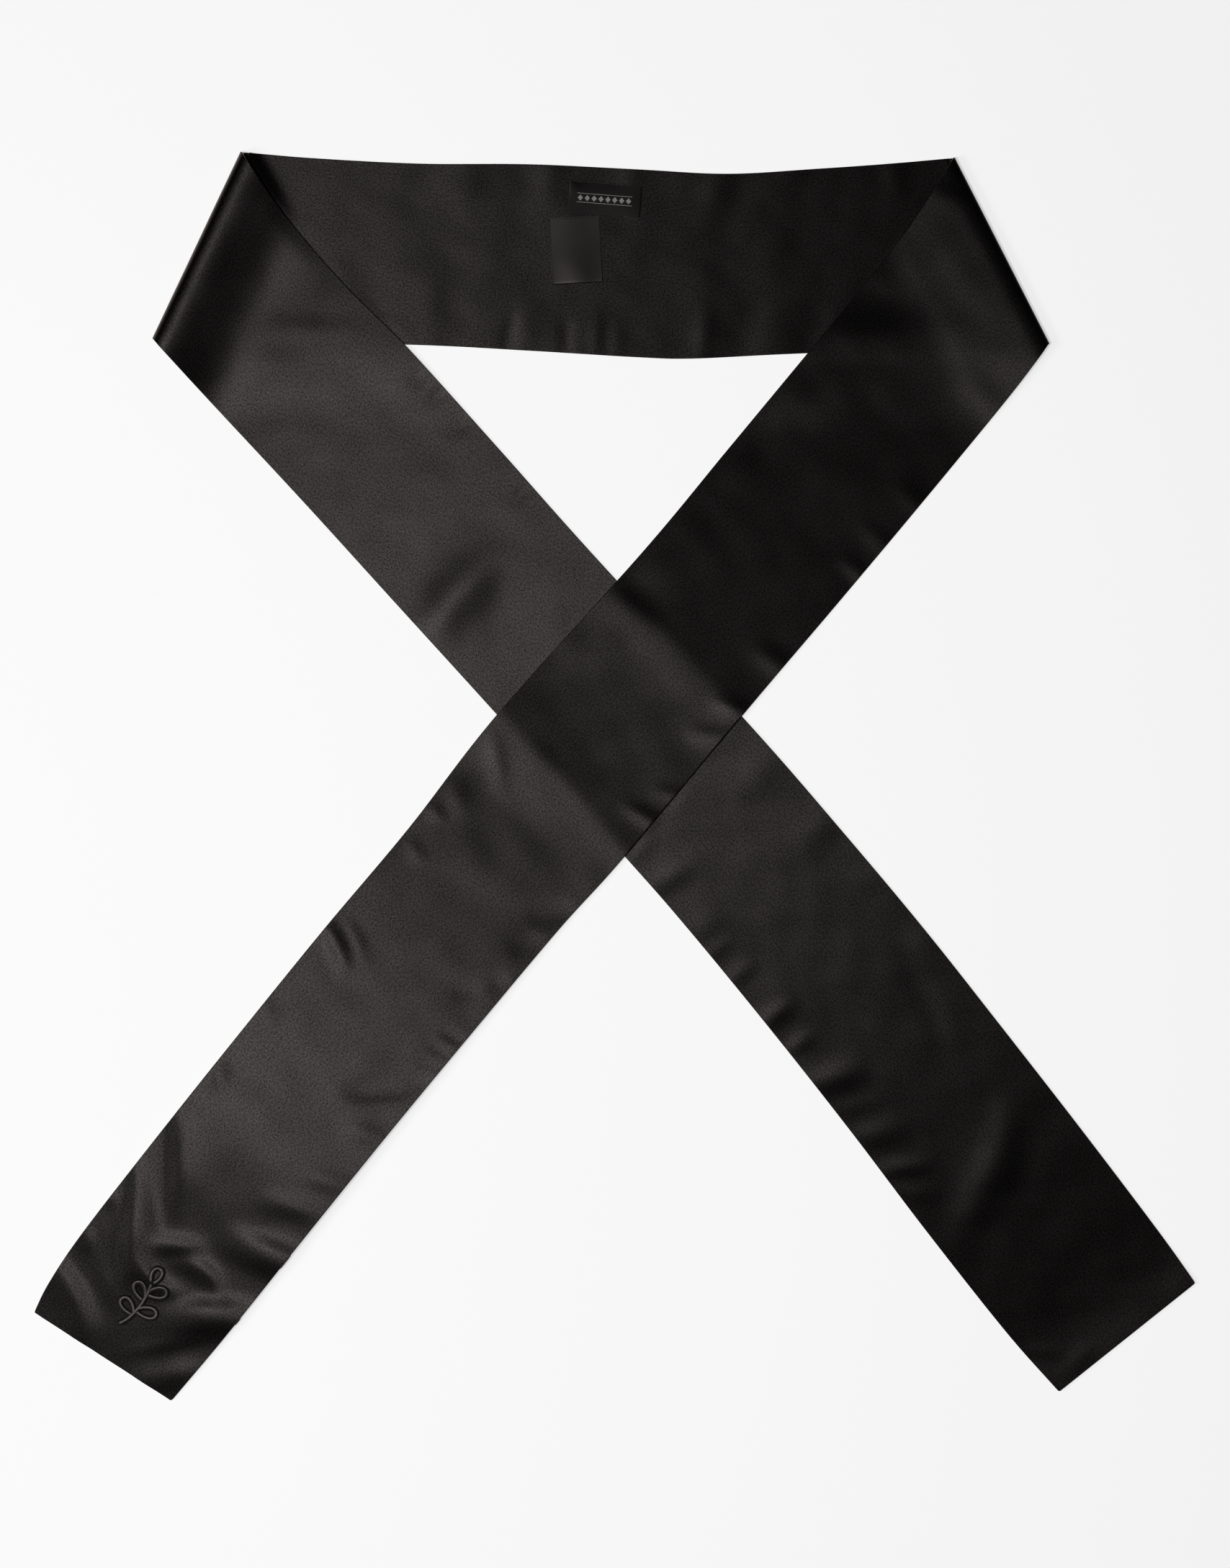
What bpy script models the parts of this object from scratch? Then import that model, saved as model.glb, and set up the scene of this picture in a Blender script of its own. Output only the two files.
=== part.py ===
# A skinny scarf of black satin, laid flat on a table.
#
# The scarf is one long strip folded lengthwise and sewn into a tube 90 mm wide, pressed flat.
# It lies in three stretches: the neck across the top, and the left and right stretches, which
# fold forward over the neck at the two corners and cross in the middle, right over left.
# A woven label and a care label are sewn to the face of the neck.
#
# Axes: X to the right, Y towards the neck, Z up from the table. Sizes are in millimetres.

import bmesh
import bpy
import numpy as np
from mathutils import Matrix

MM = 0.001

# The pressed tube
CLOTH = 2.2                # both plies together
GAP = 0.3                  # between neighbours, and at seams
SEAM_GROOVE = 0.6          # depth of the line between the two plies at the sewn edge
INNER_COLUMNS = 12         # points across one ply, without its two edges
EDGE_INSETS = (0.35, 1.4)  # how far the outer points of a ply lie from its edge
EDGE_FULLNESS = (0.62, 0.93)
FLAT_INSET = 5.0           # from here inwards the ply has its full thickness
RING_PITCH = 9.0

# The closed end of the tube: distance from the end, and share of the full thickness
END_ROUNDING = ((1.6, 1.0), (0.5, 0.85), (0.0, 0.45))

# The rolled fold at each corner, measured inwards from its outermost line
SPLIT_DEPTH = 14.0         # where the hidden lower layer ends and the neck stretch begins
ROLL_CREST = 8.5           # depth of the highest line of the roll
ROLL_RISE = 2.7            # how far the roll stands above the cloth behind it
ROLL_FADE = 8.0
ROLL_WAIST = 3.0           # height of the outermost line, at the middle of the cloth
ROLL_FOOT = 2.6            # how far the lower turn reaches inwards
LOWER_LAYER_DEPTHS = (SPLIT_DEPTH, 10.0, 6.5)
LOWER_TURN = (0, 30, 60)   # degrees round the lower turn, and then round the upper one
UPPER_TURN = (0, 20, 40, 56, 70, 80)

# Cloth that lies over another stretch comes down to the table in a soft ramp
LAYER = CLOTH + GAP
RAMP = 20.0
RAMP_START = 2.0
NECK_CREST = 0.6           # extra height over the neck's sewn edge
CROSSING_CREST = 1.2       # extra height over each edge of the stretch below the crossing
CREST_INSET = 2.0
CREST_SPREAD = 9.0
FOLD_FADE = 12.0           # folds die away this far before a covered area
RELIEF_LIMITS = (-1.1, 1.6)


# Edges of the stretches seen from above, from the corner fold to the end: x, y
LEFT_FOLD_EDGE = (
    (-184.1, 308.0), (-163.5, 278.0), (-133.5, 243.0), (-102.5, 212.0), (-56.5, 161.0),
    (-12.0, 111.0), (67.5, 24.5), (111.0, -25.5), (152.5, -75.0), (192.0, -125.0),
    (230.5, -174.5), (268.0, -224.0), (286.3, -249.7),
)
LEFT_SEAM_EDGE = (
    (-227.7, 215.7), (-200.5, 186.0), (-154.0, 136.0), (-109.0, 86.5), (-63.5, 36.5),
    (5.0, -39.5), (36.0, -75.0), (77.0, -125.0), (116.0, -174.5), (153.5, -224.0),
    (193.0, -274.0), (219.0, -303.4),
)
RIGHT_FOLD_EDGE = (
    (167.4, 305.1), (143.5, 268.5), (116.0, 234.0), (97.0, 211.0), (55.5, 161.0),
    (14.0, 111.0), (-58.0, 30.5), (-101.5, -25.5), (-143.0, -75.0), (-183.5, -125.0),
    (-223.0, -174.5), (-261.5, -224.0), (-278.5, -249.0), (-286.3, -264.3),
)
RIGHT_SEAM_EDGE = (
    (214.2, 213.2), (193.5, 186.0), (152.5, 136.0), (111.0, 86.5), (68.5, 36.5),
    (5.0, -39.5), (-27.0, -75.0), (-69.0, -125.0), (-110.0, -174.5), (-150.0, -224.0),
    (-190.0, -274.0), (-218.5, -308.0),
)
NECK_FOLD_EDGE = (
    (-184.1, 308.0), (-148.5, 305.0), (-95.5, 302.3), (-42.0, 302.0), (11.0, 299.5),
    (55.5, 297.3), (100.0, 299.8), (135.5, 302.3), (167.4, 305.1),
)
NECK_SEAM_EDGE = (
    (-227.7, 215.7), (-161.0, 214.0), (-95.5, 212.8), (-42.0, 210.0), (11.0, 206.8),
    (38.0, 206.1), (82.0, 208.2), (158.5, 211.4), (214.2, 213.2),
)

# The largest folds of each stretch. A row is one soft ridge (height over 0) or trough (under 0):
# its middle x, y, its direction in degrees, its length, its half width and its height.
LEFT_FOLDS = (
    (-193, 226, 77, 70, 9, -0.8),
    (-95, 195, 40, 22, 6, -0.6),
    (-78, 175, 38, 24, 6, -0.6),
    (-45, 139, 49, 24, 6, -0.6),
    (-80, 101, 52, 34, 6, -0.8),
    (-73, 93, 52, 26, 5, 0.7),
    (-66, 85, 49, 38, 6, -0.9),
    (53, -84, 39, 30, 6, -0.6),
    (69, -103, 39, 26, 6, -0.6),
    (87, -124, 39, 36, 7, -0.9),
    (112, -154, 39, 40, 7, -0.9),
    (158, -106, -63, 44, 6, 0.7),
    (150, -196, 14, 38, 6, -0.9),
    (155, -216, 30, 26, 6, -0.6),
    (180, -196, 67, 70, 8, 1.3),
    (190, -205, 63, 68, 8, -0.8),
    (202, -272, 40, 30, 7, -0.7),
    (226, -285, 50, 26, 7, 0.6),
    (261, -261, 60, 28, 7, 0.6),
)
RIGHT_FOLDS = (
    (137, 222, 0, 60, 7, -0.8),
    (127, 205, 3, 66, 8, 0.7),
    (141, 131, -40, 30, 6, 0.7),
    (131, 120, -40, 30, 6, -0.7),
    (116, 98, -40, 28, 6, 0.6),
    (76, 63, -40, 28, 6, -0.6),
    (73, 52, -40, 28, 6, 0.7),
    (-30, -68, -42, 34, 6, -0.8),
    (-44, -84, -42, 28, 6, -0.6),
    (-67, -105, -42, 34, 7, -0.7),
    (-80, -128, -42, 28, 6, -0.6),
    (-112, -159, 11, 34, 6, -0.9),
    (-120, -174, 5, 30, 6, 0.6),
    (-132, -187, -30, 28, 6, -0.6),
    (-138, -85, -70, 24, 6, -0.6),
    (-218, -192, 86, 42, 6, -0.9),
    (-230, -213, 85, 42, 6, 0.9),
    (-241, -215, 91, 38, 6, -0.9),
    (-262, -256, -75, 40, 6, 0.8),
    (-163, -218, 0, 32, 6, -0.7),
    (-167, -228, 0, 34, 6, 0.8),
    (-179, -243, 20, 38, 6, -0.7),
    (-216, -284, 13, 54, 6, 0.6),
)
NECK_FOLDS = (
    (-142, 296, 70, 24, 8, -0.5),
    (-82, 301, 80, 26, 8, 0.5),
    (-62, 297, 75, 24, 8, -0.5),
    (-76, 219, 80, 28, 8, 0.6),
    (-51, 216, 80, 26, 7, -0.6),
    (-23, 215, 80, 26, 8, 0.6),
    (40, 214, 80, 30, 8, 0.7),
    (67, 216, 75, 26, 8, -0.5),
    (57, 279, 40, 30, 9, -0.6),
    (43, 291, 30, 24, 8, 0.5),
    (133, 296, 100, 26, 8, 0.5),
)

# Colour, roughness
SATIN = ((0.022, 0.020, 0.020), 0.38)
WOVEN_BLACK = ((0.014, 0.014, 0.015), 0.7)
RIBBON_BLACK = ((0.018, 0.017, 0.017), 0.5)

# Labels on the neck: name, middle x, y, turn from the upright in degrees, width, length, look
LABEL_THICKNESS = 1.0
LABELS = (
    ("neck_label", -5.0, 284.5, -4.5, 36.0, 15.0, WOVEN_BLACK),
    ("care_label", -18.9, 259.5, 3.0, 24.0, 32.8, RIBBON_BLACK),
)

SHARP_ANGLE = 50           # faces that meet at more than this keep a crisp edge


def smooth_step(share):
    share = np.clip(share, 0.0, 1.0)
    return share * share * (3.0 - 2.0 * share)


class Path:
    """A smooth line through a short table of points, read by the share of its length."""

    def __init__(self, rows, steps=12):
        knots = np.array(rows, float)
        first = 2 * knots[0] - knots[1]
        last = 2 * knots[-1] - knots[-2]
        knots = np.vstack([first, knots, last])
        before, start, end, after = (knots[i:len(knots) - 3 + i, None] for i in range(4))
        t = np.linspace(0.0, 1.0, steps, endpoint=False)[None, :, None]
        line = 0.5 * (2 * start + (end - before) * t
                      + (2 * before - 5 * start + 4 * end - after) * t ** 2
                      + (3 * start - before - 3 * end + after) * t ** 3)
        self.points = np.vstack([line.reshape(-1, 2), rows[-1]])
        lengths = np.hypot(*np.diff(self.points, axis=0).T)
        self.length = lengths.sum()
        self.share = np.concatenate([[0.0], np.cumsum(lengths)]) / self.length
        self.tangents = np.gradient(self.points, axis=0)
        self.tangents /= np.linalg.norm(self.tangents, axis=1, keepdims=True)

    def at(self, share):
        return np.stack([np.interp(share, self.share, self.points[:, i]) for i in (0, 1)], -1)

    def left_of(self, plan):
        """How far each point of the plan lies to the left of the path."""
        away = plan[..., None, :] - self.points
        nearest = np.argmin((away ** 2).sum(-1), axis=-1)
        offset = plan - self.points[nearest]
        tangent = self.tangents[nearest]
        return tangent[..., 0] * offset[..., 1] - tangent[..., 1] * offset[..., 0]

    def share_at_depth(self, corner, depth):
        """Where the path lies at this depth behind a corner fold."""
        depths = corner.depth(self.points)
        if depths[0] > depths[-1]:
            return float(np.interp(depth, depths[::-1], self.share[::-1]))
        return float(np.interp(depth, depths, self.share))


class Corner:
    """The outermost line of a corner fold, and the depth of a point behind it."""

    def __init__(self, fold_edge_point, seam_edge_point, inner_point):
        self.start = np.array(fold_edge_point)
        line = np.array(seam_edge_point) - self.start
        inward = np.array([-line[1], line[0]]) / np.hypot(*line)
        if inward @ (np.array(inner_point) - self.start) < 0:
            inward = -inward
        self.inward = inward

    def depth(self, plan):
        return (plan - self.start) @ self.inward


class Band:
    """The two edges of a stretch."""

    def __init__(self, fold_rows, seam_rows, fold_edge_is_left):
        self.fold_edge = Path(fold_rows)
        self.seam_edge = Path(seam_rows)
        self.side = 1.0 if fold_edge_is_left else -1.0

    def depth(self, plan):
        """How far each point lies inside the band, under 0 outside it."""
        from_fold = -self.side * self.fold_edge.left_of(plan)
        from_seam = self.side * self.seam_edge.left_of(plan)
        return np.minimum(from_fold, from_seam)

    def section(self, fold_share, seam_share):
        return self.fold_edge.at(fold_share), self.seam_edge.at(seam_share)


neck = Band(NECK_FOLD_EDGE, NECK_SEAM_EDGE, fold_edge_is_left=True)
left = Band(LEFT_FOLD_EDGE, LEFT_SEAM_EDGE, fold_edge_is_left=True)
right = Band(RIGHT_FOLD_EDGE, RIGHT_SEAM_EDGE, fold_edge_is_left=False)
left_corner = Corner(LEFT_FOLD_EDGE[0], LEFT_SEAM_EDGE[0], (0.0, 0.0))
right_corner = Corner(RIGHT_FOLD_EDGE[0], RIGHT_SEAM_EDGE[0], (0.0, 0.0))


def step_over(depth, crest):
    """Height of cloth that lies over an edge: full above it, down to the table outside it."""
    ramp = LAYER * smooth_step(1.0 + (depth + RAMP_START) / RAMP)
    return ramp + crest * np.exp(-((depth - CREST_INSET) / CREST_SPREAD) ** 2)


def roll_rise(depth):
    return ROLL_RISE * np.exp(-((depth - ROLL_CREST) / ROLL_FADE) ** 2)


def over_neck(plan, corner):
    """Underside of a stretch near its corner: over the neck, then down beside its sewn edge."""
    inside = neck.side * neck.seam_edge.left_of(plan)
    return step_over(inside, NECK_CREST) + roll_rise(np.maximum(corner.depth(plan), ROLL_CREST))


def left_underside(plan):
    return over_neck(plan, left_corner)


def right_underside(plan):
    return over_neck(plan, right_corner) + step_over(left.depth(plan), CROSSING_CREST)


def fold_relief(plan, folds):
    """Sum of the ridges and troughs: a bell across each, a soft end at both ends."""
    relief = np.zeros(plan.shape[:-1])
    for x, y, direction, length, half_width, height in folds:
        turn = np.radians(direction)
        away = plan - (x, y)
        along = away @ (np.cos(turn), np.sin(turn))
        across = away @ (-np.sin(turn), np.cos(turn))
        ends = np.clip(1.0 - (2.0 * along / length) ** 2, 0.0, None) ** 2
        relief += height * ends * np.exp(-(across / half_width) ** 2)
    return np.clip(relief, *RELIEF_LIMITS)


def clear_of(depth):
    return smooth_step(-depth / FOLD_FADE)


def left_relief(plan):
    return fold_relief(plan, LEFT_FOLDS) * clear_of(right.depth(plan))


def right_relief(plan):
    return fold_relief(plan, RIGHT_FOLDS)


def neck_relief(plan):
    covered = np.maximum(left.depth(plan), right.depth(plan))
    return fold_relief(plan, NECK_FOLDS) * clear_of(covered)


def columns(width):
    """Where the points of a ply lie across the band, and their share of the full thickness."""
    edge = np.array(EDGE_INSETS)
    inner = np.linspace(FLAT_INSET, width - FLAT_INSET, INNER_COLUMNS)
    fullness = np.array(EDGE_FULLNESS)
    places = np.concatenate([edge, inner, width - edge[::-1]])
    return places, np.concatenate([fullness, np.ones(INNER_COLUMNS), fullness[::-1]])


def section_plan(fold_point, seam_point):
    """Plan of one section: the points of a ply, then the seam groove and the fold edge."""
    width = np.hypot(*(seam_point - fold_point))
    places, fullness = columns(width)
    line = np.append(places, [width - SEAM_GROOVE, 0.0]) / width
    return fold_point + line[:, None] * (seam_point - fold_point), fullness


def ring(plan, middle, normal, low, high, fullness):
    """One closed section: upper ply, seam groove, lower ply, fold edge."""
    base = np.column_stack([plan, middle])
    upper = base[:-2] + (high * fullness)[:, None] * normal
    lower = base[:-2] + (low * fullness)[:, None] * normal
    return np.vstack([upper, base[-2:-1], lower[::-1], base[-1:]])


def flat_ring(fold_point, seam_point, underside, relief, thickness=1.0):
    """A section of cloth that lies on the table or on another stretch."""
    plan, fullness = section_plan(fold_point, seam_point)
    middle = underside(plan) + CLOTH / 2
    half = CLOTH / 2 * thickness
    high = half + relief(plan[:-2])
    return ring(plan, middle, np.array([0.0, 0.0, 1.0]), -half, high, fullness)


def roll_profile():
    """Sections round a corner fold: depth, height share, slope and blend to the upper layer.

    The lower layer lies on the table, turns up through a quarter of a small oval and then
    over through a quarter of a larger one, up to the crest.
    """
    half = CLOTH / 2
    for depth in LOWER_LAYER_DEPTHS:
        yield depth, None, half, np.array([0.0, -1.0]), 0.0
    for degrees in LOWER_TURN:
        turn = np.radians(degrees)
        depth = half + ROLL_FOOT * (1.0 - np.sin(turn))
        height = half + (ROLL_WAIST - half) * (1.0 - np.cos(turn))
        facing = np.array([-np.sin(turn) / ROLL_FOOT, -np.cos(turn) / (ROLL_WAIST - half)])
        yield depth, None, height, facing / np.hypot(*facing), degrees / 180.0
    reach = ROLL_CREST - half
    for degrees in UPPER_TURN:
        turn = np.radians(degrees)
        depth = half + reach * (1.0 - np.cos(turn))
        crest = LAYER + ROLL_RISE + half
        facing = np.array([-np.cos(turn) / reach, np.sin(turn) / (crest - ROLL_WAIST)])
        yield depth, np.sin(turn), ROLL_WAIST, facing / np.hypot(*facing), 0.5 + degrees / 180.0


def roll_rings(band, corner, underside):
    """Sections of the corner fold, from the hidden lower layer up to the crest."""
    for depth, rise, height, facing, blend in roll_profile():
        ends = []
        for lower_edge, upper_edge in ((neck.fold_edge, band.fold_edge),
                                       (neck.seam_edge, band.seam_edge)):
            lower = lower_edge.at(lower_edge.share_at_depth(corner, depth))
            upper = upper_edge.at(upper_edge.share_at_depth(corner, depth))
            ends.append(lower + (upper - lower) * smooth_step(blend))
        plan, fullness = section_plan(*ends)
        middle = np.full(len(plan), height)
        if rise is not None:
            crest = underside(plan) + CLOTH / 2
            middle = height + (crest - height) * rise
        normal = np.append(corner.inward * facing[0], facing[1])
        half = CLOTH / 2
        yield ring(plan, middle, normal, -half, half, fullness)


def hanging_stretch(band, corner, underside, relief):
    """A stretch from the hidden layer under its corner to its sewn end."""
    rings = list(roll_rings(band, corner, underside))
    fold_start = band.fold_edge.share_at_depth(corner, ROLL_CREST)
    seam_start = band.seam_edge.share_at_depth(corner, ROLL_CREST)
    length = band.fold_edge.length
    rounding = [(1.0 - inset / length, share) for inset, share in END_ROUNDING]
    steps = [(share, 1.0) for share in np.linspace(0.0, 1.0, int(length / RING_PITCH))[:-1]]
    for share, thickness in steps + rounding:
        fold_share = fold_start + (1.0 - fold_start) * share
        seam_share = seam_start + (1.0 - seam_start) * share
        ends = band.section(fold_share, seam_share)
        rings.append(flat_ring(*ends, underside, relief, thickness))
    return rings


def neck_stretch():
    """The neck, between the two hidden splits under the corner folds."""
    depth = SPLIT_DEPTH + GAP
    shares = [[edge.share_at_depth(corner, depth) for corner in (left_corner, right_corner)]
              for edge in (neck.fold_edge, neck.seam_edge)]
    count = int(neck.seam_edge.length / RING_PITCH)
    rings = []
    for share in np.linspace(0.0, 1.0, count):
        fold_share, seam_share = (start + (end - start) * share for start, end in shares)
        ends = neck.section(fold_share, seam_share)
        rings.append(flat_ring(*ends, lambda plan: np.zeros(len(plan)), neck_relief))
    return rings


def loft(rings):
    """One closed body through the rings, with its two end sections filled ply to ply."""
    size = len(rings[0])
    ply = (size - 2) // 2
    faces = []
    for row in range(len(rings) - 1):
        for point in range(size):
            following = (point + 1) % size
            faces.append((row * size + point, row * size + following,
                          (row + 1) * size + following, (row + 1) * size + point))
    for first in (0, (len(rings) - 1) * size):
        for point in range(ply - 2):
            opposite = size - 2 - point
            faces.append([first + i for i in (point, point + 1, opposite - 1, opposite)])
        faces.append([first + i for i in range(ply - 2, ply + 3)])
        faces.append([first + i for i in (0, size - 2, size - 1)])
    return np.vstack(rings), faces


def closed_mesh(name, points, faces):
    """A mesh in metres whose faces all point outwards."""
    mesh = bpy.data.meshes.new(name)
    mesh.from_pydata((points * MM).tolist(), [], faces)
    shape = bmesh.new()
    shape.from_mesh(mesh)
    bmesh.ops.recalc_face_normals(shape, faces=shape.faces)
    shape.to_mesh(mesh)
    shape.free()
    return mesh


def label_mesh(name, middle, turn, width, length):
    """The open lower face of a label, laid just above the neck."""
    shape = bmesh.new()
    bmesh.ops.create_grid(shape, x_segments=6, y_segments=5, size=0.5)
    turn = np.radians(turn)
    across = np.array([np.cos(turn), np.sin(turn)]) * width
    up = np.array([-np.sin(turn), np.cos(turn)]) * length
    for vertex in shape.verts:
        plan = middle + across * vertex.co.x + up * vertex.co.y
        height = CLOTH + neck_relief(plan[None])[0] + GAP
        vertex.co = (plan[0] * MM, plan[1] * MM, height * MM)
    mesh = bpy.data.meshes.new(name)
    shape.to_mesh(mesh)
    shape.free()
    return mesh


def material(name, look):
    colour, roughness = look
    made = bpy.data.materials.new(name)
    made.use_nodes = True
    shader = made.node_tree.nodes["Principled BSDF"]
    shader.inputs["Base Color"].default_value = (*colour, 1.0)
    shader.inputs["Roughness"].default_value = roughness
    shader.inputs["Metallic"].default_value = 0.0
    made.diffuse_color = (*colour, 1.0)
    return made


def place(name, mesh, look, collection, centre):
    """An object of the scarf, moved so that the whole lies centred on the origin."""
    mesh.transform(centre)
    mesh.shade_smooth()
    mesh.set_sharp_from_angle(angle=np.radians(SHARP_ANGLE))
    mesh.materials.append(material(name, look))
    made = bpy.data.objects.new(name, mesh)
    collection.objects.link(made)
    return made


def main():
    for old in list(bpy.data.objects):
        bpy.data.objects.remove(old, do_unlink=True)
    collection = bpy.data.collections.new("skinny_scarf")
    bpy.context.scene.collection.children.link(collection)

    stretches = {
        "neck_stretch": loft(neck_stretch()),
        "left_stretch": loft(hanging_stretch(left, left_corner, left_underside, left_relief)),
        "right_stretch": loft(hanging_stretch(right, right_corner, right_underside,
                                              right_relief)),
    }
    points = np.vstack([points for points, faces in stretches.values()])
    middle = (points.min(axis=0) + points.max(axis=0)) / 2 * MM
    centre = Matrix.Translation((-middle[0], -middle[1], 0.0))
    for name, (points, faces) in stretches.items():
        place(name, closed_mesh(name, points, faces), SATIN, collection, centre)

    for name, x, y, turn, width, length, look in LABELS:
        mesh = label_mesh(name, np.array([x, y]), turn, width, length)
        wall = place(name, mesh, look, collection, centre).modifiers.new("wall", "SOLIDIFY")
        wall.thickness = LABEL_THICKNESS * MM
        wall.offset = 1.0


main()
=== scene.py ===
# A skinny scarf of black satin, laid flat on a pale table: the looks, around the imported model.
import math

import bpy
import numpy as np
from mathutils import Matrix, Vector


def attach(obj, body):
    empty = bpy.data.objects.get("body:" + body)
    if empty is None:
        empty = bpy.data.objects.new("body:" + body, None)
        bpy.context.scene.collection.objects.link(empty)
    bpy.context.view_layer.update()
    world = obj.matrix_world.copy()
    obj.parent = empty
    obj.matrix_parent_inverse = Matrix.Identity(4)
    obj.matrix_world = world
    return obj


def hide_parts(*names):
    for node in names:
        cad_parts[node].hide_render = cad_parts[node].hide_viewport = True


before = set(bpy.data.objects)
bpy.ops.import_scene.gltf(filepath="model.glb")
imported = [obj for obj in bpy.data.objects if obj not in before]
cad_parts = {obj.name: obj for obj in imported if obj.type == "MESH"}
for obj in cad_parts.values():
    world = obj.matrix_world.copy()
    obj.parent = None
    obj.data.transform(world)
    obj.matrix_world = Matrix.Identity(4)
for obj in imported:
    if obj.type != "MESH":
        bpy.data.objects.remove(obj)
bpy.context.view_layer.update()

mm = 0.001
print("frame loaded:", ", ".join(sorted(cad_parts)))


def addObject(name, data):
    added = bpy.data.objects.new(name, data)
    bpy.context.scene.collection.objects.link(added)
    return added


# Camera: looks straight down, and shows the photo's whole frame at the height of the cloth
view = dict(height=2330.0, frameHeight=773.2, middle=(0.2, -3.7), clothHeight=1.5)


def makeCamera():
    made = bpy.data.cameras.new("camera")
    made.sensor_fit = "VERTICAL"
    made.sensor_height = 24.0
    made.lens = made.sensor_height * (view["height"] - view["clothHeight"]) / view["frameHeight"]
    made.clip_end = 50.0
    camera = addObject("camera", made)
    camera.location = (view["middle"][0] * mm, view["middle"][1] * mm, view["height"] * mm)
    bpy.context.scene.camera = camera
    bpy.context.scene.view_settings.view_transform = "Standard"
    bpy.context.scene.view_settings.look = "None"


# Light: a soft lamp overhead on the left, a weak one lower down and a room that is bright low
# down and dark overhead; lamps as azimuth, tilt from overhead, distance, size, power. The room
# fades from the horizon's strength to the zenith's between two heights of the direction.
studio = dict(
    lamps=dict(key=(194.3, 12.0, 2.56, 0.5, 19.5), fill=(192.0, 42.0, 2.5, 0.9, 7.0)),
    horizon=1.1, zenith=0.02, brightBelow=0.05, darkAbove=0.45,
    floorColor=(0.93, 0.93, 0.93), floorRoughness=0.9, floorGlow=0.58, floorSize=8.0,
    floorDrop=0.0002,
)


def makeStudio():
    for name, (azimuth, tilt, distance, size, power) in studio["lamps"].items():
        azimuth, tilt = math.radians(azimuth), math.radians(tilt)
        place = Vector((math.cos(azimuth) * math.sin(tilt), math.sin(azimuth) * math.sin(tilt),
                        math.cos(tilt))) * distance
        light = bpy.data.lights.new(name, "AREA")
        light.shape = "DISK"
        light.size = size
        light.energy = power
        lamp = addObject(name, light)
        lamp.location = place
        lamp.rotation_euler = (-place).to_track_quat("-Z", "Y").to_euler()

    world = bpy.data.worlds.new("room")
    world.use_nodes = True
    bpy.context.scene.world = world
    nodes, links = world.node_tree.nodes, world.node_tree.links
    direction = nodes.new("ShaderNodeTexCoord")
    split = nodes.new("ShaderNodeSeparateXYZ")
    links.new(direction.outputs["Generated"], split.inputs[0])
    ramp = nodes.new("ShaderNodeMapRange")
    ramp.interpolation_type = "SMOOTHSTEP"
    ramp.inputs["From Min"].default_value = studio["brightBelow"]
    ramp.inputs["From Max"].default_value = studio["darkAbove"]
    ramp.inputs["To Min"].default_value = studio["horizon"]
    ramp.inputs["To Max"].default_value = studio["zenith"]
    links.new(split.outputs["Z"], ramp.inputs["Value"])
    links.new(ramp.outputs[0], nodes["Background"].inputs["Strength"])

    bpy.ops.mesh.primitive_plane_add(size=studio["floorSize"],
                                     location=(0.0, 0.0, -studio["floorDrop"]))
    floor = bpy.context.object
    floor.name = "floor"
    finish = Finish("pale floor")
    finish.set(**{
        "Base Color": (*studio["floorColor"], 1.0),
        "Roughness": studio["floorRoughness"],
        "Specular IOR Level": 0.0,
        "Emission Color": (1.0, 1.0, 1.0, 1.0),
        "Emission Strength": studio["floorGlow"],
    })
    floor.data.materials.append(finish.material)


# Shader maths: a Value wraps a socket, so that +, - and * on it add Math nodes
class Value:
    def __init__(self, finish, socket):
        self.finish, self.socket = finish, socket

    def math(self, operation, first, second):
        return self.finish.node("Math", dict(operation=operation), {0: first, 1: second})

    def __add__(self, other):
        return self.math("ADD", self, other)

    def __sub__(self, other):
        return self.math("SUBTRACT", self, other)

    def __mul__(self, other):
        return self.math("MULTIPLY", self, other)


class Finish:
    # one material; node() adds any node: its settings are set first, then its sockets
    def __init__(self, name):
        self.material = bpy.data.materials.new(name)
        self.material.use_nodes = True
        self.tree = self.material.node_tree
        self.shader = self.tree.nodes["Principled BSDF"]

    def feed(self, socket, value):
        if isinstance(value, Value):
            self.tree.links.new(value.socket, socket)
        else:
            socket.default_value = value

    def node(self, kind, settings=None, sockets=None, output=0):
        made = self.tree.nodes.new("ShaderNode" + kind)
        for name, value in (settings or {}).items():
            setattr(made, name, value)
        for key, value in (sockets or {}).items():
            self.feed(made.inputs[key], value)
        return Value(self, made.outputs[output])

    def set(self, **sockets):
        for name, value in sockets.items():
            self.feed(self.shader.inputs[name], value)

    # a Mix node's colours are its sockets 6 and 7, and its output 2
    def mixColour(self, share, first, second):
        return self.node("Mix", dict(data_type="RGBA"), {0: share, 6: first, 7: second}, 2)


# Satin: black, with a sheen that spreads across its threads; being nearly all metallic, its
# colour scales the sheen, and so gives it the weave's speckle, a finer sparkle and faint clouds.
# The share of the pale colour is the three noises, each times its strength, less paleFrom.
satin = dict(
    colour=(0.004, 0.0036, 0.0035, 1.0), paleColour=(0.036, 0.0324, 0.0315, 1.0),
    metallic=0.85, roughness=0.385, roughnessSpread=0.06, anisotropy=0.63, specular=0.25,
    tint=(1.0, 0.90, 0.875, 1.0),
    speckleSize=0.9, sparkleSize=0.4, cloudSize=14.0, cloudDetail=3.0,
    speckleStrength=2.1, sparkleStrength=1.6, cloudStrength=0.25, paleFrom=1.47,
    grainSize=0.24, grainDepth=0.012, threadWidth=0.35, threadLength=2.4, threadDepth=0.008,
)


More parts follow.
